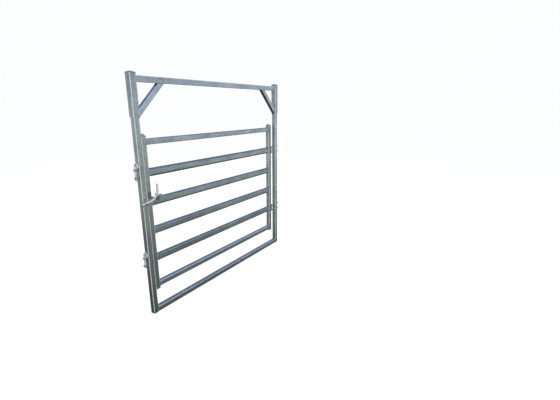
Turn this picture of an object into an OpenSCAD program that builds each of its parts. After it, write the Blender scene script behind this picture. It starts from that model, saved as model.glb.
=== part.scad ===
// Stock-yard gate in a tall arch frame, closed and latched.
// X runs from the latch post to the hinge post, Y runs from front to back, Z is up.
// The origin is on the ground under the middle of the sill. Sizes are in millimetres.

/* [Frame] */
// Clear width between the two posts
clear_w = 2010; // [1600:10:2600]
// Clear height from the ground to the underside of the header
clear_h = 2038; // [1980:1:2600]
// Side of the square post tube
post_w = 50; // [40:1:60]
// Side of the square header and sill tube
beam_w = 50; // [42:1:60]
// Side of the square brace tube
brace_w = 45; // [38:1:54]
// Wall of every frame tube
frame_wall = 3; // [2:0.5:3.5]
// Length of each arch upright that slips down over its post
sleeve_l = 342; // [310:1:410]
// How far each corner brace reaches along the header and down the upright
brace_leg = 245; // [205:1:260]

/* [Leaf] */
// Distance between rail centre lines
rail_pitch = 265; // [220:1:280]
// Height of the lowest rail's centre line above the ground
first_rail_z = 236; // [196:1:284]
// Height of the oval middle rails
rail_h = 74; // [62:1:88]
// Thickness of the oval middle rails
rail_t = 38; // [32:1:45]
// Side of the square top and bottom rails
edge_rail_w = 50; // [42:1:50]
// Side of the square stile tube
stile_w = 50; // [42:1:60]
// Wall of every leaf tube
leaf_wall = 2.5; // [2:0.5:3]
// Gap between the latch stile and the latch post
latch_gap = 34; // [28:1:41]
// Gap between the hinge stile and the hinge post
hinge_gap = 20; // [16:1:24]

/* [Hinges] */
// Diameter of the hinge pins
hinge_pin_d = 16; // [13:0.5:19]
// Outer diameter of the hinge knuckles
knuckle_d = 28; // [26:1:33]
// Height of the hinge knuckles
knuckle_h = 56; // [47:1:67]
// Thickness of the hinge and coupling lugs
lug_t = 8; // [6:0.5:10]

/* [Latch] */
// Diameter of the bent latch bar
latch_rod_d = 20; // [16:1:22]
// Inner width of the latch bracket
latch_bracket_w = 50; // [46:1:60]
// Diameter of the latch pivot bolt
pivot_d = 12; // [10:1:14]

/* [Couplings] */
// Diameter of the coupling pins
coupling_pin_d = 16; // [13:0.5:19]
// Clear space between the two lugs of a coupling
coupling_gap = 62; // [52:1:74]
// Height of the upper coupling's centre
coupling_top_z = 1310; // [1090:1:1570]
// Height of the lower coupling's centre
coupling_low_z = 525; // [437:1:630]

/* [Hidden] */
$fn = 48;
tiny = 0.01;
corner_r = 6;
running_gap = 0.05;
post_in = clear_w / 2;
post_mid = post_in + post_w / 2;
post_out = post_in + post_w;
post_face = post_w / 2;

sleeve_slack = 2;
sleeve_w = post_w + 2 * (sleeve_slack + frame_wall);
sleeve_in = post_mid - sleeve_w / 2;
header_mid_z = clear_h + beam_w / 2;
cap_stand = 19;
sleeve_top_z = clear_h + beam_w + cap_stand;
sleeve_low_z = sleeve_top_z - sleeve_l;
post_insert = 150;
post_top_z = sleeve_low_z + post_insert;
foot_t = 4;

leaf_slack = 2;
leaf_y = post_face + leaf_slack + stile_w / 2;
latch_stile_x = -post_in + latch_gap + stile_w / 2;
hinge_stile_x = post_in - hinge_gap - stile_w / 2;
rail_x0 = latch_stile_x + stile_w / 2;
rail_x1 = hinge_stile_x - stile_w / 2;
rail_count = 6;
function rail_z(number) = first_rail_z + (rail_count - number) * rail_pitch;
stile_over = 50;
stile_under = 40;
stile_top_z = rail_z(1) + stile_over;
stile_low_z = rail_z(rail_count) - stile_under;

// The hinge axis stands behind the post, so that the leaf can fold right back.
hinge_reach = 27;
hinge_x = hinge_stile_x + stile_w / 2 + hinge_reach;
hinge_lug_gap = 1;
hinge_low_z = rail_z(5);
hinge_top_z = rail_z(2);

// Latch bar: a straight arm across the post, a bend, and an upright handle.
arm_slope = 9;
bend_r = 100;
lever_y = -post_face - latch_rod_d / 2 - 7;
arm_x1 = rail_x0 - 74;
arm_z1 = rail_z(3) + 33;
arm_l = arm_x1 + post_mid + 49;
bend_x = arm_x1 - bend_r * sin(arm_slope);
bend_z = arm_z1 + bend_r * cos(arm_slope);
handle_x = bend_x + bend_r;
handle_l = 37;
boss_d = pivot_d + 16;
weld_bite = 0.6;
pivot_angle = 61;
pivot_from_bend = bend_r + latch_rod_d / 2 + boss_d / 2 - weld_bite;
pivot_x = bend_x + pivot_from_bend * sin(pivot_angle);
pivot_z = bend_z - pivot_from_bend * cos(pivot_angle);
bracket_gap = 0.8;
ear_r = pivot_x - rail_x0 - bracket_gap;
bracket_t = 6;
bracket_base_t = 8;
saddle_depth = 4;
bracket_base_z = rail_z(3) + rail_h / 2 + bracket_base_t - saddle_depth;
bracket_back_y = lever_y + latch_bracket_w / 2;
bracket_front_y = lever_y - latch_bracket_w / 2;
rail_back_y = leaf_y + rail_t / 2;

keeper_w = 24;
keeper_lip_h = 13;
keeper_back_h = 50;
keeper_t = 6;
keeper_x = -post_mid;
keeper_low_z = arm_z1 - (arm_x1 - keeper_x + keeper_w / 2) * tan(arm_slope)
    - latch_rod_d / 2 / cos(arm_slope) - 1;
keeper_lip_y = lever_y - latch_rod_d / 2 - 3;

coupling_reach = 24;
coupling_lug_w = 34;
coupling_slack = 0.5;
coupling_pin_over = 30;
collar_t = 5;
collar_d = coupling_pin_d + 12;
cane_r = 17;

set_bolt_d = 12;
set_bolt_z = sleeve_low_z + 60;
hex_of = 19 / 12;
head_of = 0.65;
nut_of = 0.8;

module galvanised() {
    color([0.62, 0.66, 0.69]) children();
}

module zinc_plated() {
    color([0.75, 0.76, 0.74]) children();
}

// ---------- profiles ----------

module rounded_rect(w, d, r) {
    square([w - 2 * r, d], center = true);
    square([w, d - 2 * r], center = true);
    for (sx = [-1, 1], sy = [-1, 1]) {
        translate([sx * (w / 2 - r), sy * (d / 2 - r)]) circle(r = r);
    }
}

module square_tube(w, wall, length) {
    linear_extrude(length) difference() {
        rounded_rect(w, w, corner_r);
        rounded_rect(w - 2 * wall, w - 2 * wall, corner_r - wall);
    }
}

module oval(h, t) {
    square([h - t, t], center = true);
    for (side = [-1, 1]) {
        translate([side * (h - t) / 2, 0]) circle(d = t);
    }
}

module oval_tube(h, t, wall, length) {
    linear_extrude(length) difference() {
        oval(h, t);
        oval(h - 2 * wall, t - 2 * wall);
    }
}

// Pressed cap: a domed top on a thin rim, with a plug that sits inside the tube.
module domed_cap(w, wall, rise) {
    rim_t = 3;
    plug_l = 14;
    plug_w = w - 2 * wall - 0.4;
    dome_r = (w * w / 4 + rise * rise) / (2 * rise);
    linear_extrude(rim_t) rounded_rect(w, w, corner_r);
    intersection() {
        translate([0, 0, rim_t - tiny]) linear_extrude(rise + 1) rounded_rect(w, w, corner_r);
        translate([0, 0, rim_t + rise - dome_r]) sphere(r = dome_r, $fn = 64);
    }
    translate([0, 0, -plug_l]) linear_extrude(plug_l + tiny) rounded_rect(plug_w, plug_w, corner_r - wall);
}

module hexagon(across, t) {
    cylinder(d = across / cos(30), h = t, $fn = 6);
}

// ---------- frame ----------

module post(side) {
    translate([side * post_mid, 0, foot_t])
        galvanised() square_tube(post_w, frame_wall, post_top_z - foot_t);
}

module post_foot(side) {
    translate([side * post_mid, 0, 0])
        galvanised() linear_extrude(foot_t) rounded_rect(post_w, post_w, corner_r);
}

module sleeve(side) {
    galvanised() difference() {
        translate([side * post_mid, 0, sleeve_low_z]) square_tube(sleeve_w, frame_wall, sleeve_l);
        translate([side * post_mid, 0, set_bolt_z]) rotate([-90, 0, 0])
            cylinder(d = set_bolt_d + 0.1, h = sleeve_w);
    }
}

module sleeve_cap(side) {
    translate([side * post_mid, 0, sleeve_top_z]) galvanised() domed_cap(sleeve_w, frame_wall, 9);
}

module sleeve_nut(side) {
    translate([side * post_mid, sleeve_w / 2, set_bolt_z]) rotate([-90, 0, 0]) difference() {
        hexagon(set_bolt_d * hex_of, set_bolt_d * nut_of);
        translate([0, 0, -1]) cylinder(d = set_bolt_d + 0.1, h = set_bolt_d + 2);
    }
}

module sleeve_set_bolt(side) {
    shank_l = sleeve_w / 2 + set_bolt_d * nut_of + 4 - post_face;
    translate([side * post_mid, post_face, set_bolt_z]) rotate([-90, 0, 0]) {
        cylinder(d = set_bolt_d, h = shank_l + tiny);
        translate([0, 0, shank_l]) hexagon(set_bolt_d * hex_of, set_bolt_d * head_of);
    }
}

module header() {
    translate([-sleeve_in, 0, header_mid_z]) rotate([0, 90, 0])
        galvanised() square_tube(beam_w, frame_wall, 2 * sleeve_in);
}

module sill() {
    translate([-post_in, 0, beam_w / 2]) rotate([0, 90, 0])
        galvanised() square_tube(beam_w, frame_wall, clear_w);
}

// Corner brace at 45 degrees, mitred to the upright and the header,
// with an oval drain slot in its upper wall next to the header.
module brace(side) {
    slot_w = 16;
    slot_l = 42;
    slot_from_end = 38;
    half_run = brace_leg * sqrt(2) / 2;
    galvanised() intersection() {
        translate([side * (sleeve_in - brace_leg / 2), 0, clear_h - brace_leg / 2])
            rotate([0, -side * 45, 0]) difference() {
                translate([0, 0, -brace_leg]) square_tube(brace_w, frame_wall, 2 * brace_leg);
                translate([side * brace_w / 2, 0, half_run - slot_from_end]) rotate([0, 90, 0])
                    linear_extrude(2 * frame_wall + 4, center = true) oval(slot_l, slot_w);
            }
        translate([side * (sleeve_in - brace_leg), 0, clear_h - brace_leg])
            cube([2 * brace_leg, 2 * brace_w, 2 * brace_leg], center = true);
    }
}

// ---------- leaf ----------

module stile(x) {
    translate([x, leaf_y, stile_low_z]) galvanised() square_tube(stile_w, leaf_wall, stile_top_z - stile_low_z);
}

module stile_cap(x) {
    translate([x, leaf_y, stile_top_z]) galvanised() domed_cap(stile_w, leaf_wall, 17);
}

module stile_foot(x) {
    translate([x, leaf_y, stile_low_z - foot_t]) galvanised()
        linear_extrude(foot_t) rounded_rect(stile_w, stile_w, corner_r);
}

module rail(number) {
    length = rail_x1 - rail_x0;
    translate([rail_x0, leaf_y, rail_z(number)]) rotate([0, 90, 0]) galvanised() {
        if (number == 1 || number == rail_count) {
            square_tube(edge_rail_w, leaf_wall, length);
        } else {
            oval_tube(rail_h, rail_t, leaf_wall, length);
        }
    }
}

// ---------- hinges ----------

module hinge_lugs(z) {
    lug_x = [-10, 14];
    for (low = [z - knuckle_h / 2 - hinge_lug_gap - lug_t, z + knuckle_h / 2 + hinge_lug_gap]) {
        translate([hinge_x, leaf_y, low]) galvanised() difference() {
            union() {
                cylinder(d = knuckle_d, h = lug_t);
                translate([lug_x[0], post_face - leaf_y, 0])
                    cube([lug_x[1] - lug_x[0], leaf_y - post_face, lug_t]);
            }
            translate([0, 0, -1]) cylinder(d = hinge_pin_d + 2 * running_gap, h = lug_t + 2);
        }
    }
}

hinge_pin_low = knuckle_h / 2 + hinge_lug_gap + lug_t + 15;
hinge_pin_high = knuckle_h / 2 + hinge_lug_gap + lug_t;
split_pin_d = 4;
split_pin_drop = knuckle_h / 2 + hinge_lug_gap + lug_t + 5;

module hinge_pin(z) {
    translate([hinge_x, leaf_y, z]) zinc_plated() difference() {
        union() {
            translate([0, 0, -hinge_pin_low])
                cylinder(d = hinge_pin_d, h = hinge_pin_low + hinge_pin_high + tiny);
            translate([0, 0, hinge_pin_high]) cylinder(d = hinge_pin_d + 10, h = 6);
        }
        translate([0, 0, -split_pin_drop]) rotate([0, 90, 0])
            cylinder(d = split_pin_d + 0.2, h = 2 * hinge_pin_d, center = true);
    }
}

module hinge_split_pin(z) {
    eye_r = 4;
    leg_l = hinge_pin_d + 16;
    translate([hinge_x, leaf_y, z - split_pin_drop]) zinc_plated() {
        translate([-leg_l / 2, 0, 0]) rotate([0, 90, 0]) cylinder(d = split_pin_d, h = leg_l);
        translate([leg_l / 2 + eye_r, 0, 0]) rotate([90, 0, 0])
            rotate_extrude() translate([eye_r, 0]) circle(d = split_pin_d * 0.8, $fn = 24);
    }
}

module hinge_knuckle(z) {
    translate([hinge_x, leaf_y, z - knuckle_h / 2]) galvanised() difference() {
        cylinder(d = knuckle_d, h = knuckle_h);
        translate([0, 0, -1]) cylinder(d = hinge_pin_d + 2 * running_gap, h = knuckle_h + 2);
    }
}

module hinge_web(z) {
    web_t = 10;
    translate([hinge_x, leaf_y, z]) galvanised() difference() {
        translate([-hinge_reach, -web_t / 2, -knuckle_h / 2]) cube([hinge_reach, web_t, knuckle_h]);
        cylinder(d = knuckle_d, h = knuckle_h + 2, center = true);
    }
}

// ---------- latch ----------

// The bent bar: an arm that slopes down to the left, a bend, and an upright handle.
// The straight lengths are drawn a hair thinner and run a little way into the bend.
module latch_bar_solid() {
    sweep = 90 - arm_slope;
    straight_d = latch_rod_d - 0.2;
    lap = 3;
    translate([bend_x, lever_y, bend_z]) rotate([90, sweep, 0]) {
        rotate_extrude(angle = sweep) translate([bend_r, 0]) circle(d = latch_rod_d);
        translate([bend_r, lap, 0]) rotate([90, 0, 0]) cylinder(d = straight_d, h = arm_l + lap);
    }
    translate([handle_x, lever_y, bend_z - lap]) {
        cylinder(d = straight_d, h = handle_l + lap);
        translate([0, 0, handle_l + lap]) sphere(d = straight_d);
    }
}

module latch_bar() {
    zinc_plated() latch_bar_solid();
}

// Short pivot tube welded to the outside of the bend.
module latch_hub() {
    zinc_plated() difference() {
        translate([pivot_x, lever_y, pivot_z]) rotate([90, 0, 0])
            cylinder(d = boss_d, h = latch_bracket_w - 1, center = true);
        translate([pivot_x, lever_y, pivot_z]) rotate([90, 0, 0])
            cylinder(d = pivot_d + 2 * running_gap, h = latch_bracket_w + 2, center = true);
        latch_bar_solid();
    }
}

module bracket_cheek(y) {
    translate([pivot_x, y + bracket_t, 0]) rotate([90, 0, 0]) linear_extrude(bracket_t) {
        translate([-ear_r, bracket_base_z]) square([2 * ear_r, pivot_z - bracket_base_z]);
        translate([0, pivot_z]) circle(r = ear_r);
    }
}

// Two cheeks on a base plate that saddles the third rail and reaches out past the post's face.
module latch_bracket() {
    base_front = bracket_front_y - bracket_t;
    galvanised() difference() {
        union() {
            bracket_cheek(bracket_back_y);
            bracket_cheek(bracket_front_y - bracket_t);
            translate([pivot_x - ear_r, base_front, bracket_base_z - bracket_base_t])
                cube([2 * ear_r, rail_back_y - base_front, bracket_base_t]);
        }
        translate([pivot_x, lever_y, pivot_z]) rotate([90, 0, 0])
            cylinder(d = pivot_d + 2 * running_gap, h = 2 * latch_bracket_w, center = true);
        translate([rail_x0, leaf_y, rail_z(3)]) rotate([0, 90, 0])
            linear_extrude(4 * ear_r) oval(rail_h, rail_t);
    }
}

module latch_pivot_bolt() {
    shank_l = latch_bracket_w + 2 * bracket_t + pivot_d;
    translate([pivot_x, bracket_front_y - bracket_t, pivot_z]) rotate([-90, 0, 0]) zinc_plated() {
        translate([0, 0, -tiny]) cylinder(d = pivot_d, h = shank_l);
        translate([0, 0, -pivot_d * head_of]) hexagon(pivot_d * hex_of, pivot_d * head_of);
    }
}

module latch_pivot_nut() {
    translate([pivot_x, bracket_back_y + bracket_t, pivot_z]) rotate([-90, 0, 0]) zinc_plated() difference() {
        hexagon(pivot_d * hex_of, pivot_d * nut_of);
        translate([0, 0, -1]) cylinder(d = pivot_d + 0.02, h = pivot_d + 2);
    }
}

// Open-topped hook on the front of the latch post.
module latch_keeper() {
    lip_z = keeper_low_z + keeper_lip_h;
    back_z = keeper_low_z + keeper_back_h;
    low_z = keeper_low_z - keeper_t;
    galvanised() translate([keeper_x - keeper_w / 2, 0, 0]) rotate([90, 0, 90]) linear_extrude(keeper_w)
        polygon([
            [-post_face, low_z], [-post_face, back_z], [-post_face - keeper_t, back_z],
            [-post_face - keeper_t, keeper_low_z], [keeper_lip_y, keeper_low_z], [keeper_lip_y, lip_z],
            [keeper_lip_y - keeper_t, lip_z], [keeper_lip_y - keeper_t, low_z]
        ]);
}

// ---------- couplings ----------

coupling_x = post_out + coupling_reach;

module coupling_lugs(side, z) {
    for (low = [z - coupling_gap / 2 - lug_t, z + coupling_gap / 2]) {
        galvanised() difference() {
            union() {
                translate([side * coupling_x, 0, low]) cylinder(d = coupling_lug_w, h = lug_t);
                translate([side * (post_out + coupling_reach / 2), 0, low + lug_t / 2])
                    cube([coupling_reach, coupling_lug_w, lug_t], center = true);
            }
            translate([side * coupling_x, 0, low - 1])
                cylinder(d = coupling_pin_d + 2 * coupling_slack, h = lug_t + 2);
        }
    }
}

// Drop pin with a collar and a cane handle that turns to the front.
module coupling_pin(z) {
    tip_below_lug = 18;
    seat_gap = 0.3;
    cane_end_l = 12;
    low = z - coupling_gap / 2 - lug_t - tip_below_lug;
    seat = z + coupling_gap / 2 + lug_t;
    arch_z = seat + coupling_pin_over;
    translate([-coupling_x, 0, 0]) zinc_plated() {
        translate([0, 0, low]) cylinder(d = coupling_pin_d, h = arch_z - low);
        translate([0, 0, seat + seat_gap]) cylinder(d = collar_d, h = collar_t);
        translate([0, -cane_r, arch_z]) rotate([90, 0, 90])
            rotate_extrude(angle = 180) translate([cane_r, 0]) circle(d = coupling_pin_d);
        translate([0, -2 * cane_r, arch_z - cane_end_l]) cylinder(d = coupling_pin_d, h = cane_end_l + tiny);
    }
}

// ---------- assembly ----------

post(-1);  // latch_post
post(1);  // hinge_post
post_foot(-1);  // latch_post_foot
post_foot(1);  // hinge_post_foot
sleeve(-1);  // latch_sleeve
sleeve(1);  // hinge_sleeve
sleeve_cap(-1);  // latch_sleeve_cap
sleeve_cap(1);  // hinge_sleeve_cap
header();
brace(-1);  // latch_brace
brace(1);  // hinge_brace
sill();
galvanised() { sleeve_nut(-1); sleeve_nut(1); }  // sleeve_nuts
zinc_plated() { sleeve_set_bolt(-1); sleeve_set_bolt(1); }  // sleeve_set_bolts
stile(latch_stile_x);  // latch_stile
stile(hinge_stile_x);  // hinge_stile
stile_cap(latch_stile_x);  // latch_stile_cap
stile_cap(hinge_stile_x);  // hinge_stile_cap
stile_foot(latch_stile_x);  // latch_stile_foot
stile_foot(hinge_stile_x);  // hinge_stile_foot
rail(1);  // rail_1
rail(2);  // rail_2
rail(3);  // rail_3
rail(4);  // rail_4
rail(5);  // rail_5
rail(6);  // rail_6
hinge_lugs(hinge_top_z);  // hinge_lugs_upper
hinge_lugs(hinge_low_z);  // hinge_lugs_lower
hinge_pin(hinge_top_z);  // hinge_pin_upper
hinge_pin(hinge_low_z);  // hinge_pin_lower
union() { hinge_split_pin(hinge_top_z); hinge_split_pin(hinge_low_z); }  // hinge_split_pins
hinge_knuckle(hinge_top_z);  // hinge_knuckle_upper
hinge_knuckle(hinge_low_z);  // hinge_knuckle_lower
hinge_web(hinge_top_z);  // hinge_web_upper
hinge_web(hinge_low_z);  // hinge_web_lower
latch_keeper();
latch_bracket();
latch_pivot_bolt();
latch_pivot_nut();
latch_bar();
latch_hub();
coupling_lugs(-1, coupling_top_z);  // coupling_lugs_latch_upper
coupling_lugs(-1, coupling_low_z);  // coupling_lugs_latch_lower
coupling_lugs(1, coupling_top_z);  // coupling_lugs_hinge_upper
coupling_lugs(1, coupling_low_z);  // coupling_lugs_hinge_lower
coupling_pin(coupling_top_z);  // coupling_pin_upper
coupling_pin(coupling_low_z);  // coupling_pin_lower
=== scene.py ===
import math

import bmesh
import bpy
from mathutils import Matrix, Vector


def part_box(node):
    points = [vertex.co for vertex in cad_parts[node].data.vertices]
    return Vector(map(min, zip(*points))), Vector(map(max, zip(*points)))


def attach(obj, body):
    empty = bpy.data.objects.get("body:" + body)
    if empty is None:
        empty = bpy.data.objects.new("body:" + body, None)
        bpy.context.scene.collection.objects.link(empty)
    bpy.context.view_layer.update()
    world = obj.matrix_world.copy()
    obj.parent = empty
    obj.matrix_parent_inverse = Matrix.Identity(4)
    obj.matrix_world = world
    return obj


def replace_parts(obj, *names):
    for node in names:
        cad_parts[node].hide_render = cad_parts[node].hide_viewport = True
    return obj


bl_info = {
    "name": "Livestock panel gate",
    "version": (1, 0, 0),
    "blender": (4, 5, 0),
    "location": "View3D > Sidebar > Gate",
    "description": "Finishes, welds, fasteners and studio for a galvanised stock-yard gate in an arch frame",
    "category": "Object",
}

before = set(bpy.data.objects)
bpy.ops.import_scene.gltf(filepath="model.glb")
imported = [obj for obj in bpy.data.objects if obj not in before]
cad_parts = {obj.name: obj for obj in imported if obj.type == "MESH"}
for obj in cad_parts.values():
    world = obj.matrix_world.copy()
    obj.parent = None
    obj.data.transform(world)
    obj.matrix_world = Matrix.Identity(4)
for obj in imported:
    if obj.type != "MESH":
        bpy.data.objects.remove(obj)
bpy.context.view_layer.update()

MM = 0.001

# Outer corner radius of the square tubes.
TUBE_CORNER = 6 * MM
# Thickness of the hinge and coupling lugs.
LUG_THICKNESS = 8 * MM
# Height of a bolt head and radius of its shank.
BOLT_HEAD = 7.8 * MM
BOLT_RADIUS = 6 * MM
# Where round the latch bar's bend the pivot tube is welded, from straight below the bend's centre.
HUB_ANGLE = math.radians(61)
# Weld beads keep this far inside the ground and the back of the stiles.
BEAD_ROOM = 4.2 * MM
# A bead stops this far short of the end of the edge that it follows.
BEAD_END = 2 * MM
# A bead round a post, a sleeve or a stile runs half of this inside the tube's faces.
BEAD_SINK = 1 * MM

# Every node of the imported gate, grouped by the finish it takes.
CAP_NODES = ("latch_sleeve_cap", "hinge_sleeve_cap", "latch_stile_cap", "hinge_stile_cap")
UPRIGHT_NODES = (
    "latch_post", "hinge_post", "latch_post_foot", "hinge_post_foot", "latch_sleeve", "hinge_sleeve",
    "latch_stile", "hinge_stile", "latch_stile_foot", "hinge_stile_foot",
)
BEAM_NODES = ("header", "sill", "latch_brace", "hinge_brace", "rail_6")
LEAF_RAIL_NODES = ("rail_1", "rail_2", "rail_3", "rail_4", "rail_5")
PLATE_NODES = (
    "hinge_lugs_upper", "hinge_lugs_lower", "hinge_web_upper", "hinge_web_lower",
    "hinge_knuckle_upper", "hinge_knuckle_lower", "latch_keeper", "latch_bracket",
    "coupling_lugs_latch_upper", "coupling_lugs_latch_lower",
    "coupling_lugs_hinge_upper", "coupling_lugs_hinge_lower",
)
ROUND_BAR_NODES = (
    "hinge_pin_upper", "hinge_pin_lower", "latch_bar", "latch_hub",
    "coupling_pin_upper", "coupling_pin_lower",
)
FASTENER_NODES = (
    "sleeve_nuts", "sleeve_set_bolts", "latch_pivot_bolt", "latch_pivot_nut", "hinge_split_pins",
)


# ---------- colours and nodes ----------


def linear(hex_colour):
    """sRGB hex to a linear RGBA colour."""
    values = [int(hex_colour[i:i + 2], 16) / 255 for i in (1, 3, 5)]
    return [v / 12.92 if v <= 0.04045 else ((v + 0.055) / 1.055) ** 2.4 for v in values] + [1.0]


def node(tree, kind, links=None, **settings):
    """Adds a node; settings are its properties or, by socket name, its inputs; links feed its inputs."""
    made = tree.nodes.new(kind)
    sockets = {}
    for name, value in settings.items():
        if hasattr(made, name):
            setattr(made, name, value)
        else:
            sockets[name.replace("_", " ")] = value
    for name, value in sockets.items():
        made.inputs[name].default_value = value
    for name, source in (links or {}).items():
        tree.links.new(source, made.inputs[name])
    return made


def ramp(tree, source, *stops):
    """A colour ramp with the given (position, hex colour) stops."""
    made = node(tree, "ShaderNodeValToRGB", {"Fac": source})
    points = made.color_ramp.elements
    while len(points) < len(stops):
        points.new(1.0)
    for point, (position, colour) in zip(points, stops):
        point.position = position
        point.color = linear(colour)
    return made.outputs["Color"]


def span(tree, source, low, high, to_low=0.0, to_high=1.0):
    """Maps source from low..high to to_low..to_high, held at the ends."""
    made = node(tree, "ShaderNodeMapRange", {"Value": source})
    made.inputs["From Min"].default_value = low
    made.inputs["From Max"].default_value = high
    made.inputs["To Min"].default_value = to_low
    made.inputs["To Max"].default_value = to_high
    return made.outputs["Result"]


def blend_colours(tree, factor, first, second):
    """Mixes two colour sockets or hex colours."""
    made = node(tree, "ShaderNodeMix", data_type="RGBA")
    for index, value in ((0, factor), (6, first), (7, second)):
        if isinstance(value, bpy.types.NodeSocket):
            tree.links.new(value, made.inputs[index])
        elif isinstance(value, str):
            made.inputs[index].default_value = linear(value)
        else:
            made.inputs[index].default_value = value
    return made.outputs[2]


def corner_highlight_mask(tree, normal, run, strength):
    """Mask of the painted corner highlight: the given strength on the rounded corners of a square tube that
    runs along an axis, 0 on its flats.

    The two parts of the normal across the tube multiply to 0 on a flat and to 0.5 in the middle of a corner.
    """
    facing = node(tree, "ShaderNodeSeparateXYZ", {"Vector": normal})
    first, second = [facing.outputs[axis] for axis in "XYZ" if axis != run]
    product = node(tree, "ShaderNodeMath", {0: first, 1: second}, operation="MULTIPLY").outputs[0]
    size = node(tree, "ShaderNodeMath", {0: product}, operation="ABSOLUTE").outputs[0]
    return span(tree, size, 0.04, 0.30, 0.0, strength)


def galvanised(name, dark, mid, light, metallic, roughness, streak_axis, spangle_mm, dirt, run=None, highlight_strength=1.0):
    """Hot-dip zinc on steel: patchy grey crystals, soft runs along the tube, and grime near the ground.

    A square tube gives the axis that it runs along, and the last argument is how strongly its corners take a
    pale painted highlight.
    """
    material = bpy.data.materials.new(name)
    material.use_nodes = True
    tree = material.node_tree
    shader = tree.nodes["Principled BSDF"]
    shader.inputs["Metallic"].default_value = metallic
    coordinates = node(tree, "ShaderNodeTexCoord")
    place = coordinates.outputs["Object"]

    # Zinc crystals, drawn coarser than real spangle so that they still show from a few metres.
    spangle = node(tree, "ShaderNodeTexVoronoi", {"Vector": place}, Scale=1 / (spangle_mm * MM))
    crystal = span(tree, spangle.outputs["Color"], 0.0, 1.0, 0.2, 0.7)

    # Runs left as the zinc drained, stretched along the length of the tube.
    stretch = node(tree, "ShaderNodeMapping", {"Vector": place}, Scale=streak_axis)
    runs = node(tree, "ShaderNodeTexNoise", {"Vector": stretch.outputs["Vector"]},
                Scale=1 / (55 * MM), Detail=4.0, Roughness=0.6).outputs["Fac"]
    clouds = node(tree, "ShaderNodeTexNoise", {"Vector": place},
                  Scale=1 / (230 * MM), Detail=3.0).outputs["Fac"]
    fine = node(tree, "ShaderNodeTexNoise", {"Vector": place},
                Scale=1 / (5 * MM), Detail=2.0).outputs["Fac"]

    # The three layers of tone add up to about 0.85 where they are darkest and 2.1 where they are lightest.
    tone = node(tree, "ShaderNodeMath", {0: crystal, 1: runs}, operation="ADD")
    tone = node(tree, "ShaderNodeMath", {0: tone.outputs[0], 1: clouds}, operation="ADD")
    shade = span(tree, tone.outputs[0], 0.85, 2.1)
    zinc = ramp(tree, shade, (0.0, dark), (0.5, mid), (1.0, light))

    # White rust in small blotches.
    blotch = node(tree, "ShaderNodeTexNoise", {"Vector": place},
                  Scale=1 / (70 * MM), Detail=5.0, Roughness=0.7).outputs["Fac"]
    rust_mask = span(tree, blotch, 0.60, 0.72, 0.0, 0.35)
    zinc = blend_colours(tree, rust_mask, zinc, "#c9cdc9")

    # Soil splashed up the lowest 300 mm.
    height = node(tree, "ShaderNodeSeparateXYZ", {"Vector": place}).outputs["Z"]
    low = span(tree, height, 0.30, 0.0, 0.0, dirt)
    splash = node(tree, "ShaderNodeMath", {0: low, 1: runs}, operation="MULTIPLY").outputs[0]
    zinc = blend_colours(tree, splash, zinc, "#4c4a40")

    # Painted highlight: the rounded corners are drawn paler and less metallic than the flats, so they read as
    # bright ridges of light.
    if run:
        corner_highlight = corner_highlight_mask(tree, coordinates.outputs["Normal"], run, highlight_strength)
        zinc = blend_colours(tree, corner_highlight, zinc, "#d9dedd")
        tree.links.new(span(tree, corner_highlight, 0.0, 1.0, metallic, metallic * 0.15), shader.inputs["Metallic"])
    tree.links.new(zinc, shader.inputs["Base Color"])

    rough_low, rough_high = roughness
    tree.links.new(span(tree, tone.outputs[0], 0.8, 2.2, rough_high, rough_low), shader.inputs["Roughness"])

    swell = node(tree, "ShaderNodeMath", {0: runs, 1: fine}, operation="MULTIPLY_ADD")
    swell.inputs[1].default_value = 1.0
    tree.links.new(fine, swell.inputs[2])
    bump = node(tree, "ShaderNodeBump", {"Height": swell.outputs[0]}, Strength=0.2, Distance=0.5 * MM)
    tree.links.new(bump.outputs["Normal"], shader.inputs["Normal"])
    return material


def weld_zinc(name):
    """Weld metal under cold zinc spray: bright, granular and rougher than the dipped tube."""
    material = bpy.data.materials.new(name)
    material.use_nodes = True
    tree = material.node_tree
    shader = tree.nodes["Principled BSDF"]
    shader.inputs["Metallic"].default_value = 0.75
    place = node(tree, "ShaderNodeTexCoord").outputs["Object"]
    grain = node(tree, "ShaderNodeTexNoise", {"Vector": place},
                 Scale=1 / (4 * MM), Detail=4.0).outputs["Fac"]
    patches = node(tree, "ShaderNodeTexNoise", {"Vector": place},
                   Scale=1 / (30 * MM), Detail=2.0).outputs["Fac"]
    tree.links.new(ramp(tree, patches, (0.35, "#8e959a"), (0.65, "#d6dadb")), shader.inputs["Base Color"])
    tree.links.new(span(tree, grain, 0.3, 0.7, 0.38, 0.62), shader.inputs["Roughness"])
    bump = node(tree, "ShaderNodeBump", {"Height": grain}, Strength=0.5, Distance=0.5 * MM)
    tree.links.new(bump.outputs["Normal"], shader.inputs["Normal"])
    return material


def rubbed_bar(name, dark, light, roughness):
    """Dipped round bar worn smooth by hands and lugs: brighter patches and fine turning scratches."""
    material = bpy.data.materials.new(name)
    material.use_nodes = True
    tree = material.node_tree
    shader = tree.nodes["Principled BSDF"]
    shader.inputs["Metallic"].default_value = 0.3
    place = node(tree, "ShaderNodeTexCoord").outputs["Object"]
    wear = node(tree, "ShaderNodeTexNoise", {"Vector": place},
                Scale=1 / (45 * MM), Detail=5.0, Roughness=0.65).outputs["Fac"]
    tree.links.new(ramp(tree, wear, (0.35, dark), (0.66, light)), shader.inputs["Base Color"])
    low, high = roughness
    tree.links.new(span(tree, wear, 0.35, 0.65, high, low), shader.inputs["Roughness"])
    squeeze = node(tree, "ShaderNodeMapping", {"Vector": place}, Scale=(1.0, 1.0, 12.0)).outputs["Vector"]
    scratch = node(tree, "ShaderNodeTexNoise", {"Vector": squeeze},
                   Scale=1 / (6 * MM), Detail=2.0).outputs["Fac"]
    bump = node(tree, "ShaderNodeBump", {"Height": scratch}, Strength=0.25, Distance=0.25 * MM)
    tree.links.new(bump.outputs["Normal"], shader.inputs["Normal"])
    return material


MATERIALS = {}


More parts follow.
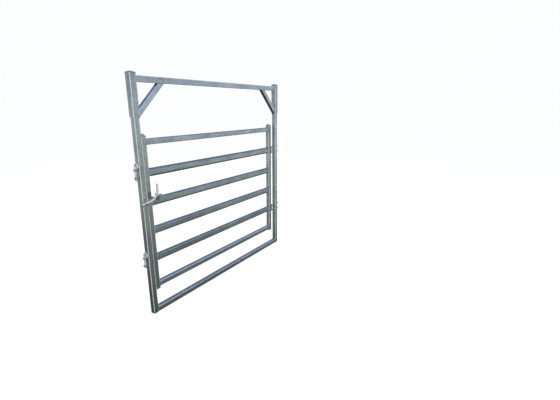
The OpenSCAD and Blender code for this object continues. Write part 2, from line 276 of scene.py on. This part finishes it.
def finish_material(name):
    """One of the gate's finishes, made on first use."""
    if name in MATERIALS:
        return MATERIALS[name]
    sizes = bpy.context.scene.gate_sizes
    spangle = sizes.spangle_mm
    if name == "uprights":
        made = galvanised("Hot-dip galvanised uprights", "#8f9896", "#b9c0be", "#e2e6e4",
                          metallic=0.9, roughness=(0.24, 0.40), streak_axis=(1.0, 1.0, 0.12),
                          spangle_mm=spangle, dirt=0.7, run="Z")
    elif name == "beams":
        made = galvanised("Hot-dip galvanised beams", "#949da0", "#bec5c7", "#e6eaea",
                          metallic=0.85, roughness=(0.22, 0.36), streak_axis=(0.12, 1.0, 1.0),
                          # The beams' corners take a weaker painted highlight than the uprights'.
                          spangle_mm=spangle, dirt=0.5, run="X", highlight_strength=0.6)
    elif name == "leaf rails":
        made = galvanised("Hot-dip galvanised leaf rails", "#8c9696", "#b6bebe", "#e0e4e4",
                          metallic=0.9, roughness=(0.24, 0.38), streak_axis=(0.12, 1.0, 1.0),
                          spangle_mm=spangle, dirt=0.5)
    elif name == "plates":
        made = galvanised("Hot-dip galvanised plate", "#858d8c", "#adb4b2", "#d2d6d3",
                          metallic=0.85, roughness=(0.34, 0.52), streak_axis=(1.0, 1.0, 1.0),
                          spangle_mm=spangle * 0.6, dirt=0.5)
    elif name == "caps":
        made = galvanised("Galvanised pressed cap", "#a9b0b3", "#cdd2d3", "#eef0ef",
                          metallic=0.75, roughness=(0.30, 0.45), streak_axis=(1.0, 1.0, 1.0),
                          spangle_mm=spangle * 0.6, dirt=0.0)
    elif name == "round bar":
        made = rubbed_bar("Galvanised round bar, rubbed bright", "#b9bcb7", "#f0f1ec", roughness=(0.25, 0.42))
    elif name == "fasteners":
        made = rubbed_bar("Zinc-plated steel fastener", "#8a8d8b", "#c9cac4", roughness=(0.25, 0.38))
    else:
        made = weld_zinc("Zinc-sprayed weld")
    MATERIALS[name] = made
    return made


def paint(node_names, finish):
    """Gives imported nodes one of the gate's finishes."""
    material = finish_material(finish)
    for name in node_names:
        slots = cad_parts[name].material_slots
        if not slots:
            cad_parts[name].data.materials.append(material)
        for slot in slots:
            slot.material = material


# ---------- meshes ----------


def smooth_by_angle(mesh, degrees=35.0):
    """Smooth shading with sharp edges where faces meet at more than the given angle."""
    bm = bmesh.new()
    bm.from_mesh(mesh)
    limit = math.radians(degrees)
    for face in bm.faces:
        face.smooth = True
    for edge in bm.edges:
        edge.smooth = len(edge.link_faces) == 2 and edge.calc_face_angle(0.0) < limit
    bm.to_mesh(mesh)
    bm.free()


def new_piece(name, mesh, body, finish):
    """Links a finished mesh as a piece that rides on one body."""
    piece = bpy.data.objects.new(name, mesh)
    bpy.context.scene.collection.objects.link(piece)
    mesh.materials.clear()
    mesh.materials.append(finish_material(finish))
    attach(piece, body)
    return piece


def rounded_loop(width, depth, radius, steps=5):
    """Points round a rounded rectangle, in its own plane."""
    points = []
    for quarter, (sx, sy) in enumerate(((1, 1), (-1, 1), (-1, -1), (1, -1))):
        for step in range(steps + 1):
            angle = math.radians(90 * quarter + 90 * step / steps)
            points.append((sx * (width / 2 - radius) + radius * math.cos(angle),
                           sy * (depth / 2 - radius) + radius * math.sin(angle)))
    return points


def edge_paths(name, loops):
    """A mesh of bare edges, one closed or open path for each (points, closed) pair."""
    vertices, edges = [], []
    for points, closed in loops:
        first = len(vertices)
        vertices += [tuple(p) for p in points]
        edges += [(first + i, first + i + 1) for i in range(len(points) - 1)]
        if closed:
            edges.append((first + len(points) - 1, first))
    mesh = bpy.data.meshes.new(name)
    mesh.from_pydata(vertices, edges, [])
    return mesh


def socket_id(tree, name):
    """The identifier of a node group's input, by its name."""
    return next(i.identifier for i in tree.interface.items_tree if i.name == name and i.in_out == "INPUT")


def weld_tree():
    """Overlapping flattened drops laid along every path: the ripples of a weld bead."""
    tree = bpy.data.node_groups.new("Weld bead", "GeometryNodeTree")
    io = tree.interface
    io.new_socket("Geometry", in_out="INPUT", socket_type="NodeSocketGeometry")
    for name, default in (("Ripple pitch", 3.5 * MM), ("Bead radius", 4.0 * MM)):
        io.new_socket(name, in_out="INPUT", socket_type="NodeSocketFloat").default_value = default
    io.new_socket("Seed", in_out="INPUT", socket_type="NodeSocketInt").default_value = 7
    io.new_socket("Material", in_out="INPUT", socket_type="NodeSocketMaterial")
    io.new_socket("Geometry", in_out="OUTPUT", socket_type="NodeSocketGeometry")
    group = node(tree, "NodeGroupInput").outputs
    curve = node(tree, "GeometryNodeMeshToCurve", {"Mesh": group["Geometry"]})
    points = node(tree, "GeometryNodeCurveToPoints", {
        "Curve": curve.outputs["Curve"], "Length": group["Ripple pitch"],
    }, mode="LENGTH")
    drop = node(tree, "GeometryNodeMeshIcoSphere", {"Radius": group["Bead radius"]}, Subdivisions=2)
    jitter = node(tree, "FunctionNodeRandomValue", {"Seed": group["Seed"]}, data_type="FLOAT_VECTOR")
    smallest, largest = jitter.inputs[0], jitter.inputs[1]
    smallest.default_value = (0.82, 0.82, 0.5)
    largest.default_value = (1.12, 1.12, 0.62)
    placed = node(tree, "GeometryNodeInstanceOnPoints", {
        "Points": points.outputs["Points"], "Instance": drop.outputs["Mesh"],
        "Rotation": points.outputs["Rotation"], "Scale": jitter.outputs[0],
    })
    real = node(tree, "GeometryNodeRealizeInstances", {"Geometry": placed.outputs["Instances"]})
    smooth = node(tree, "GeometryNodeSetShadeSmooth", {"Geometry": real.outputs["Geometry"]})
    painted = node(tree, "GeometryNodeSetMaterial", {
        "Geometry": smooth.outputs["Geometry"], "Material": group["Material"],
    })
    node(tree, "NodeGroupOutput", {"Geometry": painted.outputs["Geometry"]})
    return tree


def baked(tree, mesh, inputs):
    """Runs a geometry tree on a mesh and returns the result as a plain mesh."""
    carrier = bpy.data.objects.new("carrier", mesh)
    bpy.context.scene.collection.objects.link(carrier)
    modifier = carrier.modifiers.new("tree", "NODES")
    modifier.node_group = tree
    for name, value in inputs.items():
        modifier[socket_id(tree, name)] = value
    depsgraph = bpy.context.evaluated_depsgraph_get()
    result = bpy.data.meshes.new_from_object(carrier.evaluated_get(depsgraph))
    carrier.modifiers.remove(modifier)
    bpy.data.objects.remove(carrier)
    if not result.polygons:
        raise RuntimeError(f"{tree.name} made no faces for {mesh.name}")
    return result


# ---------- where the welds run ----------


def middle(name):
    """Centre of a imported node's box."""
    low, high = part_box(name)
    return (low + high) / 2


def ring_x(x, centre, width_z, depth_y, radius):
    """A rounded loop in the plane X = x."""
    return [Vector((x, centre.y + v, centre.z + u)) for u, v in rounded_loop(width_z, depth_y, radius)], True


def ring_z(z, centre, width_x, depth_y, radius):
    """A rounded loop in the plane Z = z."""
    return [Vector((centre.x + u, centre.y + v, z)) for u, v in rounded_loop(width_x, depth_y, radius)], True


def straight(start, end):
    """An open path between two points."""
    return [Vector(start), Vector(end)], False


def leaf_weld_paths():
    """Round every rail end, under each stile cap, along the hinge webs and under the latch bracket."""
    paths = []
    for number in range(1, 7):
        name = f"rail_{number}"
        low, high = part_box(name)
        centre = middle(name)
        height, depth = high.z - low.z, high.y - low.y
        # An oval rail's top and bottom are full half rounds.
        radius = TUBE_CORNER if number in (1, 6) else depth / 2 - 0.1 * MM
        for x in (low.x, high.x):
            paths.append(ring_x(x, centre, height, depth, radius))
    stile_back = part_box("hinge_stile")[1].y
    for side in ("latch", "hinge"):
        low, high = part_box(f"{side}_stile")
        centre = middle(f"{side}_stile")
        width, depth = high.x - low.x - BEAD_SINK, high.y - low.y - BEAD_SINK
        for z in (high.z, low.z):
            paths.append(ring_z(z, centre, width, depth, TUBE_CORNER))
    stile_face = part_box("hinge_stile")[1].x
    for level in ("upper", "lower"):
        low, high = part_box(f"hinge_web_{level}")
        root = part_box(f"hinge_knuckle_{level}")[0].x + 1 * MM
        for y in (low.y, high.y):
            paths.append(straight((stile_face, y, low.z), (stile_face, y, high.z)))
            paths.append(straight((root, y, low.z + BEAD_END), (root, y, high.z - BEAD_END)))
    # The bracket's base saddles the third rail a little below its crest.
    low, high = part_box("latch_bracket")
    saddle_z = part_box("rail_3")[1].z - 3 * MM
    saddle_half = 10 * MM
    for y in (middle("rail_3").y - saddle_half, middle("rail_3").y + saddle_half):
        paths.append(straight((low.x, y, saddle_z), (high.x, y, saddle_z)))
    for points, _ in paths:
        for point in points:
            point.y = min(point.y, stile_back - BEAD_ROOM)
    return paths


def lug_edges(low_z, high_z):
    """Heights of the four faces of a pair of lugs."""
    return low_z, low_z + LUG_THICKNESS, high_z - LUG_THICKNESS, high_z


def frame_weld_paths():
    """Round the ends of the header, sill and braces, the caps and feet, and along the lugs and the keeper."""
    paths = []
    for name in ("header", "sill"):
        low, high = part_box(name)
        for x in (low.x, high.x):
            paths.append(ring_x(x, middle(name), high.z - low.z, high.y - low.y, TUBE_CORNER))
    for side in ("latch", "hinge"):
        low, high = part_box(f"{side}_sleeve")
        width = high.x - low.x - BEAD_SINK
        paths.append(ring_z(high.z, middle(f"{side}_sleeve"), width, width, TUBE_CORNER))
        low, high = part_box(f"{side}_post")
        width, depth = high.x - low.x - BEAD_SINK, high.y - low.y - BEAD_SINK
        paths.append(ring_z(low.z, middle(f"{side}_post"), width, depth, TUBE_CORNER))
        brace_low, brace_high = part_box(f"{side}_brace")
        sign = -1 if side == "latch" else 1
        depth = brace_high.y - brace_low.y
        cut = depth * math.sqrt(2)
        inner = brace_low.x if sign > 0 else brace_high.x
        top_centre = Vector((inner + sign * cut / 2, 0, brace_high.z))
        paths.append(ring_z(brace_high.z, top_centre, cut, depth, TUBE_CORNER))
        wall = brace_high.x if sign > 0 else brace_low.x
        side_centre = Vector((wall, 0, brace_low.z + cut / 2))
        paths.append(ring_x(wall, side_centre, cut, depth, TUBE_CORNER))
    post_low, post_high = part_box("hinge_post")
    # The stile passes close by this corner of the post when the leaf swings to the front.
    bead_start = post_low.x + 3 * MM
    for level in ("upper", "lower"):
        low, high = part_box(f"hinge_lugs_{level}")
        for z in lug_edges(low.z, high.z):
            paths.append(straight((bead_start, post_high.y, z), (high.x, post_high.y, z)))
    for side, sign in (("latch", -1), ("hinge", 1)):
        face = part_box(f"{side}_post")[1 if sign > 0 else 0].x
        for level in ("upper", "lower"):
            low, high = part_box(f"coupling_lugs_{side}_{level}")
            for z in lug_edges(low.z, high.z):
                paths.append(straight((face, low.y + BEAD_END, z), (face, high.y - BEAD_END, z)))
    low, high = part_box("latch_keeper")
    for x in (low.x, high.x):
        paths.append(straight((x, high.y, low.z + BEAD_END), (x, high.y, high.z - BEAD_END)))
    for points, _ in paths:
        for point in points:
            point.z = max(point.z, BEAD_ROOM)
    return paths


def lever_weld_paths():
    """Along both sides of the line where the pivot tube meets the bar."""
    to_bar, apart = 13 * MM, 5 * MM
    half_bead = Vector((0, 8 * MM, 0))
    away = Vector((math.sin(HUB_ANGLE), 0, -math.cos(HUB_ANGLE)))
    along = Vector((away.z, 0, -away.x))
    paths = []
    for side in (-1, 1):
        start = middle("latch_hub") - away * to_bar + along * side * apart
        paths.append(straight(start - half_bead, start + half_bead))
    return paths


# ---------- fasteners ----------


def chamfered_bar(bm, centre, axis, radius, length, sides, chamfer, steps, turn=0.0):
    """A bar along axis, round or with flat sides, with its two rims bevelled."""
    before = set(bm.verts)
    made = bmesh.ops.create_cone(bm, cap_ends=True, segments=sides,
                                 radius1=radius, radius2=radius, depth=length)
    edges = {edge for vertex in made["verts"] for edge in vertex.link_edges}
    rims = [edge for edge in edges if abs(edge.verts[0].co.z - edge.verts[1].co.z) < 1e-7]
    bmesh.ops.bevel(bm, geom=rims, offset=chamfer, segments=steps, affect="EDGES")
    fresh = [vertex for vertex in bm.verts if vertex not in before]
    spin = Matrix.Rotation(turn, 4, "Z")
    aim = axis.to_track_quat("Z", "Y").to_matrix().to_4x4()
    bmesh.ops.transform(bm, matrix=Matrix.Translation(centre) @ aim @ spin, verts=fresh)


def hex_head(bm, centre, axis, across, thickness, turn):
    """A chamfered hexagon prism whose faces stand square to axis."""
    chamfered_bar(bm, centre, axis, across / math.sqrt(3), thickness,
                  sides=6, chamfer=across * 0.06, steps=2, turn=turn)


def shank(bm, start, end, radius, chamfer):
    """A round bar from start to end with chamfered ends."""
    axis = end - start
    chamfered_bar(bm, (start + end) / 2, axis, radius, axis.length, sides=32, chamfer=chamfer, steps=1)


def fastener(bm, name, body, finish, node_name):
    """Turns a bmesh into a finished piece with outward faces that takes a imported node's place."""
    bmesh.ops.recalc_face_normals(bm, faces=bm.faces)
    mesh = bpy.data.meshes.new(name)
    bm.to_mesh(mesh)
    bm.free()
    smooth_by_angle(mesh)
    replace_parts(new_piece(name, mesh, body, finish), node_name)


def bent_wire(name, points, radius, body, finish):
    """A round wire along smooth points, as a plain mesh."""
    curve = bpy.data.curves.new(name, "CURVE")
    curve.dimensions = "3D"
    curve.bevel_depth = radius
    curve.bevel_resolution = 4
    curve.use_fill_caps = True
    spline = curve.splines.new("NURBS")
    spline.points.add(len(points) - 1)
    for point, co in zip(spline.points, points):
        point.co = (*co, 1.0)
    spline.use_endpoint_u = True
    spline.order_u = 3
    spline.resolution_u = 6
    carrier = bpy.data.objects.new(name + "_curve", curve)
    bpy.context.scene.collection.objects.link(carrier)
    depsgraph = bpy.context.evaluated_depsgraph_get()
    mesh = bpy.data.meshes.new_from_object(carrier.evaluated_get(depsgraph))
    bpy.data.objects.remove(carrier)
    smooth_by_angle(mesh, 60)
    return new_piece(name, mesh, body, finish)


# ---------- add-on ----------


class GateSizes(bpy.types.PropertyGroup):
    """Sizes and colours of the finishing work."""

    bead_mm: bpy.props.FloatProperty(
        name="Weld bead", description="Width of a weld bead in millimetres", default=7.0, min=3.0, max=12.0)
    ripple_mm: bpy.props.FloatProperty(
        name="Weld ripple", description="Distance between weld ripples in millimetres",
        default=3.2, min=1.5, max=8.0)
    spangle_mm: bpy.props.FloatProperty(
        name="Spangle", description="Width of a zinc crystal in millimetres", default=16.0, min=4.0, max=60.0)
    floor_colour: bpy.props.FloatVectorProperty(
        name="Floor", description="Colour of the studio floor", subtype="COLOR", size=3,
        default=(0.16, 0.16, 0.15), min=0.0, max=1.0)
    floor_glow: bpy.props.FloatProperty(
        name="Floor glow", description="Even light of the back-lit studio floor",
        default=0.93, min=0.0, max=2.0)
    key_power: bpy.props.FloatProperty(
        name="Key light", description="Power of the large soft key light",
        default=650.0, min=0.0, unit="POWER")
    lens_mm: bpy.props.FloatProperty(
        name="Lens", description="Focal length for a 36 mm wide sensor", default=22.35, min=8.0, max=200.0)


class GATE_OT_finish_tubes(bpy.types.Operator):
    """Gives the posts, sleeves, stiles, rails, header, sill and braces their galvanised finish"""

    bl_idname = "gate.finish_tubes"
    bl_label = "Finish tubes"

    def execute(self, context):
        paint(UPRIGHT_NODES, "uprights")
        paint(BEAM_NODES, "beams")
        paint(LEAF_RAIL_NODES, "leaf rails")
        paint(CAP_NODES, "caps")
        return {"FINISHED"}


class GATE_OT_finish_fittings(bpy.types.Operator):
    """Gives the lugs, bracket, keeper, pins and latch bar their finish"""

    bl_idname = "gate.finish_fittings"
    bl_label = "Finish fittings"

    def execute(self, context):
        paint(PLATE_NODES, "plates")
        paint(ROUND_BAR_NODES, "round bar")
        paint(FASTENER_NODES, "fasteners")
        return {"FINISHED"}


class GATE_OT_weld_beads(bpy.types.Operator):
    """Lays the weld beads of the frame, the leaf and the latch lever"""

    bl_idname = "gate.weld_beads"
    bl_label = "Weld beads"

    def execute(self, context):
        sizes = context.scene.gate_sizes
        tree = weld_tree()
        work = (
            ("frame_welds", "frame", "frame_steel", frame_weld_paths()),
            ("leaf_welds", "leaf", "leaf_steel", leaf_weld_paths()),
            ("lever_weld", "latch_lever", "zinc_plated_steel", lever_weld_paths()),
        )
        for seed, (name, body, slot, paths) in enumerate(work):
            mesh = baked(tree, edge_paths(name + "_paths", paths), {
                "Ripple pitch": sizes.ripple_mm * MM,
                "Bead radius": sizes.bead_mm / 2 * MM,
                "Seed": seed,
                "Material": finish_material("weld"),
            })
            new_piece(name, mesh, body, "weld")
        return {"FINISHED"}


class GATE_OT_fasteners(bpy.types.Operator):
    """Makes the sleeve bolts and nuts, the latch pivot bolt and nut, and the hinge split pins"""

    bl_idname = "gate.fasteners"
    bl_label = "Fasteners"

    def execute(self, context):
        self.sleeve_bolts()
        self.pivot_bolt()
        self.split_pins()
        return {"FINISHED"}

    def sleeve_bolts(self):
        low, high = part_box("sleeve_set_bolts")
        nut_low, nut_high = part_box("sleeve_nuts")
        bolts, nuts = bmesh.new(), bmesh.new()
        across = high.z - low.z
        z = middle("sleeve_set_bolts").z
        nut_y = middle("sleeve_nuts").y
        axis = Vector((0, 1, 0))
        for side in ("latch", "hinge"):
            x = middle(f"{side}_post").x
            hex_head(bolts, Vector((x, high.y - BOLT_HEAD / 2, z)), axis, across, BOLT_HEAD, turn=0.3)
            shank(bolts, Vector((x, low.y, z)), Vector((x, high.y - BOLT_HEAD, z)), BOLT_RADIUS, 0.5 * MM)
            hex_head(nuts, Vector((x, nut_y, z)), axis, across, nut_high.y - nut_low.y, turn=0.0)
        fastener(bolts, "set_bolts", "frame", "fasteners", "sleeve_set_bolts")
        fastener(nuts, "welded_nuts", "frame", "plates", "sleeve_nuts")

    def pivot_bolt(self):
        low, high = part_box("latch_pivot_bolt")
        nut_low, nut_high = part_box("latch_pivot_nut")
        x, z = middle("latch_pivot_bolt").xz
        nut_y = middle("latch_pivot_nut").y
        axis = Vector((0, 1, 0))
        across = high.z - low.z
        bolt, nut = bmesh.new(), bmesh.new()
        hex_head(bolt, Vector((x, low.y + BOLT_HEAD / 2, z)), axis, across, BOLT_HEAD, turn=0.2)
        shank(bolt, Vector((x, low.y + BOLT_HEAD, z)), Vector((x, high.y, z)), BOLT_RADIUS, 0.8 * MM)
        hex_head(nut, Vector((x, nut_y, z)), axis, across, nut_high.y - nut_low.y, turn=0.4)
        fastener(bolt, "pivot_bolt", "leaf", "fasteners", "latch_pivot_bolt")
        fastener(nut, "pivot_nut", "leaf", "fasteners", "latch_pivot_nut")

    def split_pins(self):
        low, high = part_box("hinge_split_pins")
        pin = middle("hinge_pin_upper")
        wire = 1.9 * MM
        from_end = 5.6 * MM
        tail_x, eye_x = low.x + wire, high.x - wire
        widest_x = eye_x - 4 * MM
        made = []
        for level, z in (("upper", high.z - from_end), ("lower", low.z + from_end)):
            for side, leg in (("a", 1), ("b", -1)):
                points = [
                    Vector((tail_x + 2 * MM, pin.y + leg * 3.5 * MM, z + leg * 3.6 * MM)),
                    Vector((tail_x + 3 * MM, pin.y + leg * 1.2 * MM, z + leg * 1.4 * MM)),
                    Vector((pin.x - 10 * MM, pin.y, z + leg * 0.7 * MM)),
                    Vector((pin.x + 9 * MM, pin.y, z + leg * 0.7 * MM)),
                    Vector((widest_x - 3 * MM, pin.y, z + leg * 1.6 * MM)),
                    Vector((widest_x, pin.y, z + leg * 3.6 * MM)),
                    Vector((eye_x, pin.y, z + leg * 2.4 * MM)),
                    Vector((eye_x + 0.3 * MM, pin.y, z)),
                ]
                made.append(bent_wire(f"split_pin_{level}_{side}", points, wire * 0.62,
                                      "frame", "fasteners"))
        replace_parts(made[0], "hinge_split_pins")


class GATE_OT_stage(bpy.types.Operator):
    """Builds the pale floor, the soft lights, the sky that the zinc reflects, and the camera"""

    bl_idname = "gate.stage"
    bl_label = "Stage"

    def execute(self, context):
        self.sweep(context)
        self.sky(context)
        self.lights(context)
        self.camera(context)
        context.scene.view_settings.view_transform = "Standard"
        return {"FINISHED"}

    def sweep(self, context):
        """A floor that curves up into a wall all round.

        Only the camera sees it, so the zinc reflects the sky.
        """
        middle_disc, reach, bend, wall = 3.0, 15.0, 6.0, 14.0
        steps, segments = 12, 96
        profile = [(middle_disc, 0.0), (reach - bend, 0.0)]
        for step in range(1, steps + 1):
            angle = math.radians(90 * step / steps)
            profile.append((reach - bend + bend * math.sin(angle), bend - bend * math.cos(angle)))
        profile.append((reach, wall))
        bm = bmesh.new()
        rings = []
        for radius, height in profile:
            rings.append([bm.verts.new((radius * math.cos(2 * math.pi * i / segments),
                                        radius * math.sin(2 * math.pi * i / segments), height))
                          for i in range(segments)])
        centre = bm.verts.new((0, 0, 0))
        for i in range(segments):
            j = (i + 1) % segments
            bm.faces.new((centre, rings[0][i], rings[0][j]))
            for inner, outer in zip(rings, rings[1:]):
                bm.faces.new((inner[i], outer[i], outer[j], inner[j]))
        for face in bm.faces:
            face.smooth = True
        mesh = bpy.data.meshes.new("studio_sweep")
        bm.to_mesh(mesh)
        bm.free()
        sweep = bpy.data.objects.new("studio_sweep", mesh)
        context.scene.collection.objects.link(sweep)
        paper = bpy.data.materials.new("Matt studio paper")
        paper.use_nodes = True
        shader = paper.node_tree.nodes["Principled BSDF"]
        sizes = context.scene.gate_sizes
        shader.inputs["Base Color"].default_value = (*sizes.floor_colour, 1.0)
        shader.inputs["Emission Color"].default_value = (1.0, 1.0, 1.0, 1.0)
        shader.inputs["Emission Strength"].default_value = sizes.floor_glow
        shader.inputs["Roughness"].default_value = 0.95
        shader.inputs["Specular IOR Level"].default_value = 0.1
        mesh.materials.append(paper)
        sweep.visible_glossy = False
        sweep.visible_diffuse = False
        sweep.visible_shadow = False

    def sky(self, context):
        """Deep sky above, light at the horizon and dark pasture below, which is what the zinc mirrors."""
        world = bpy.data.worlds.new("Open yard")
        context.scene.world = world
        world.use_nodes = True
        tree = world.node_tree
        back = tree.nodes["Background"]
        place = node(tree, "ShaderNodeTexCoord").outputs["Generated"]
        height = node(tree, "ShaderNodeSeparateXYZ", {"Vector": place}).outputs["Z"]
        level = span(tree, height, -1.0, 1.0)
        colours = ramp(tree, level,
                       (0.0, "#222919"), (0.335, "#4b5642"), (0.40, "#b4bbb4"), (0.46, "#e2e7e7"),
                       (0.505, "#cfd8de"), (0.57, "#8ba3c6"), (0.78, "#5470a6"), (1.0, "#456499"))
        tree.links.new(colours, back.inputs["Color"])
        back.inputs["Strength"].default_value = 1.0

    def lights(self, context):
        """A broad key from the front left, a fill from the right and a rim from behind.

        Only matt surfaces take their light; bright zinc mirrors the sky alone.
        """
        aim = Vector((0, 0, 1.0))
        power = context.scene.gate_sizes.key_power
        for name, place, size, watts in (
            ("key", (-4.5, -6.0, 6.5), 4.5, power),
            ("fill", (5.0, -5.0, 4.0), 4.0, power * 0.35),
            ("rim", (1.5, 6.5, 5.5), 4.0, power * 0.6),
        ):
            data = bpy.data.lights.new(name, "AREA")
            data.size = size
            data.energy = watts
            lamp = bpy.data.objects.new(name, data)
            lamp.location = place
            lamp.rotation_euler = (aim - Vector(place)).to_track_quat("-Z", "Y").to_euler()
            lamp.visible_glossy = False
            context.scene.collection.objects.link(lamp)

    def camera(self, context):
        """Eye level, standing off the latch post, looking along the gate."""
        eye = (-2.838, -2.498, 1.860)
        yaw, pitch, roll = 0.5577, 0.2655, -0.0017
        ahead = Vector((math.cos(yaw) * math.cos(pitch), math.sin(yaw) * math.cos(pitch), -math.sin(pitch)))
        right = Vector((math.sin(yaw), -math.cos(yaw), 0.0))
        down = ahead.cross(right)
        across = right * math.cos(roll) + down * math.sin(roll)
        up = right * math.sin(roll) - down * math.cos(roll)
        turn = Matrix((across, up, -ahead)).transposed().to_4x4()
        data = bpy.data.cameras.new("camera")
        data.sensor_width = 36.0
        data.lens = context.scene.gate_sizes.lens_mm
        camera = bpy.data.objects.new("camera", data)
        camera.matrix_world = Matrix.Translation(eye) @ turn
        context.scene.collection.objects.link(camera)
        context.scene.camera = camera


class GATE_PT_panel(bpy.types.Panel):
    """Lists the gate's finishing steps"""

    bl_idname = "GATE_PT_panel"
    bl_label = "Livestock panel gate"
    bl_space_type = "VIEW_3D"
    bl_region_type = "UI"
    bl_category = "Gate"

    def draw(self, context):
        sizes = context.scene.gate_sizes
        for name in GateSizes.__annotations__:
            self.layout.prop(sizes, name)
        for operator in OPERATORS:
            self.layout.operator(operator.bl_idname)


OPERATORS = (
    GATE_OT_finish_tubes,
    GATE_OT_finish_fittings,
    GATE_OT_weld_beads,
    GATE_OT_fasteners,
    GATE_OT_stage,
)


def register():
    for item in (GateSizes, *OPERATORS, GATE_PT_panel):
        bpy.utils.register_class(item)
    bpy.types.Scene.gate_sizes = bpy.props.PointerProperty(type=GateSizes)


def unregister():
    del bpy.types.Scene.gate_sizes
    for item in reversed((GateSizes, *OPERATORS, GATE_PT_panel)):
        bpy.utils.unregister_class(item)


def main():
    register()
    bpy.ops.gate.finish_tubes()
    bpy.ops.gate.finish_fittings()
    bpy.ops.gate.weld_beads()
    bpy.ops.gate.fasteners()
    bpy.ops.gate.stage()


if __name__ == "__main__":
    main()
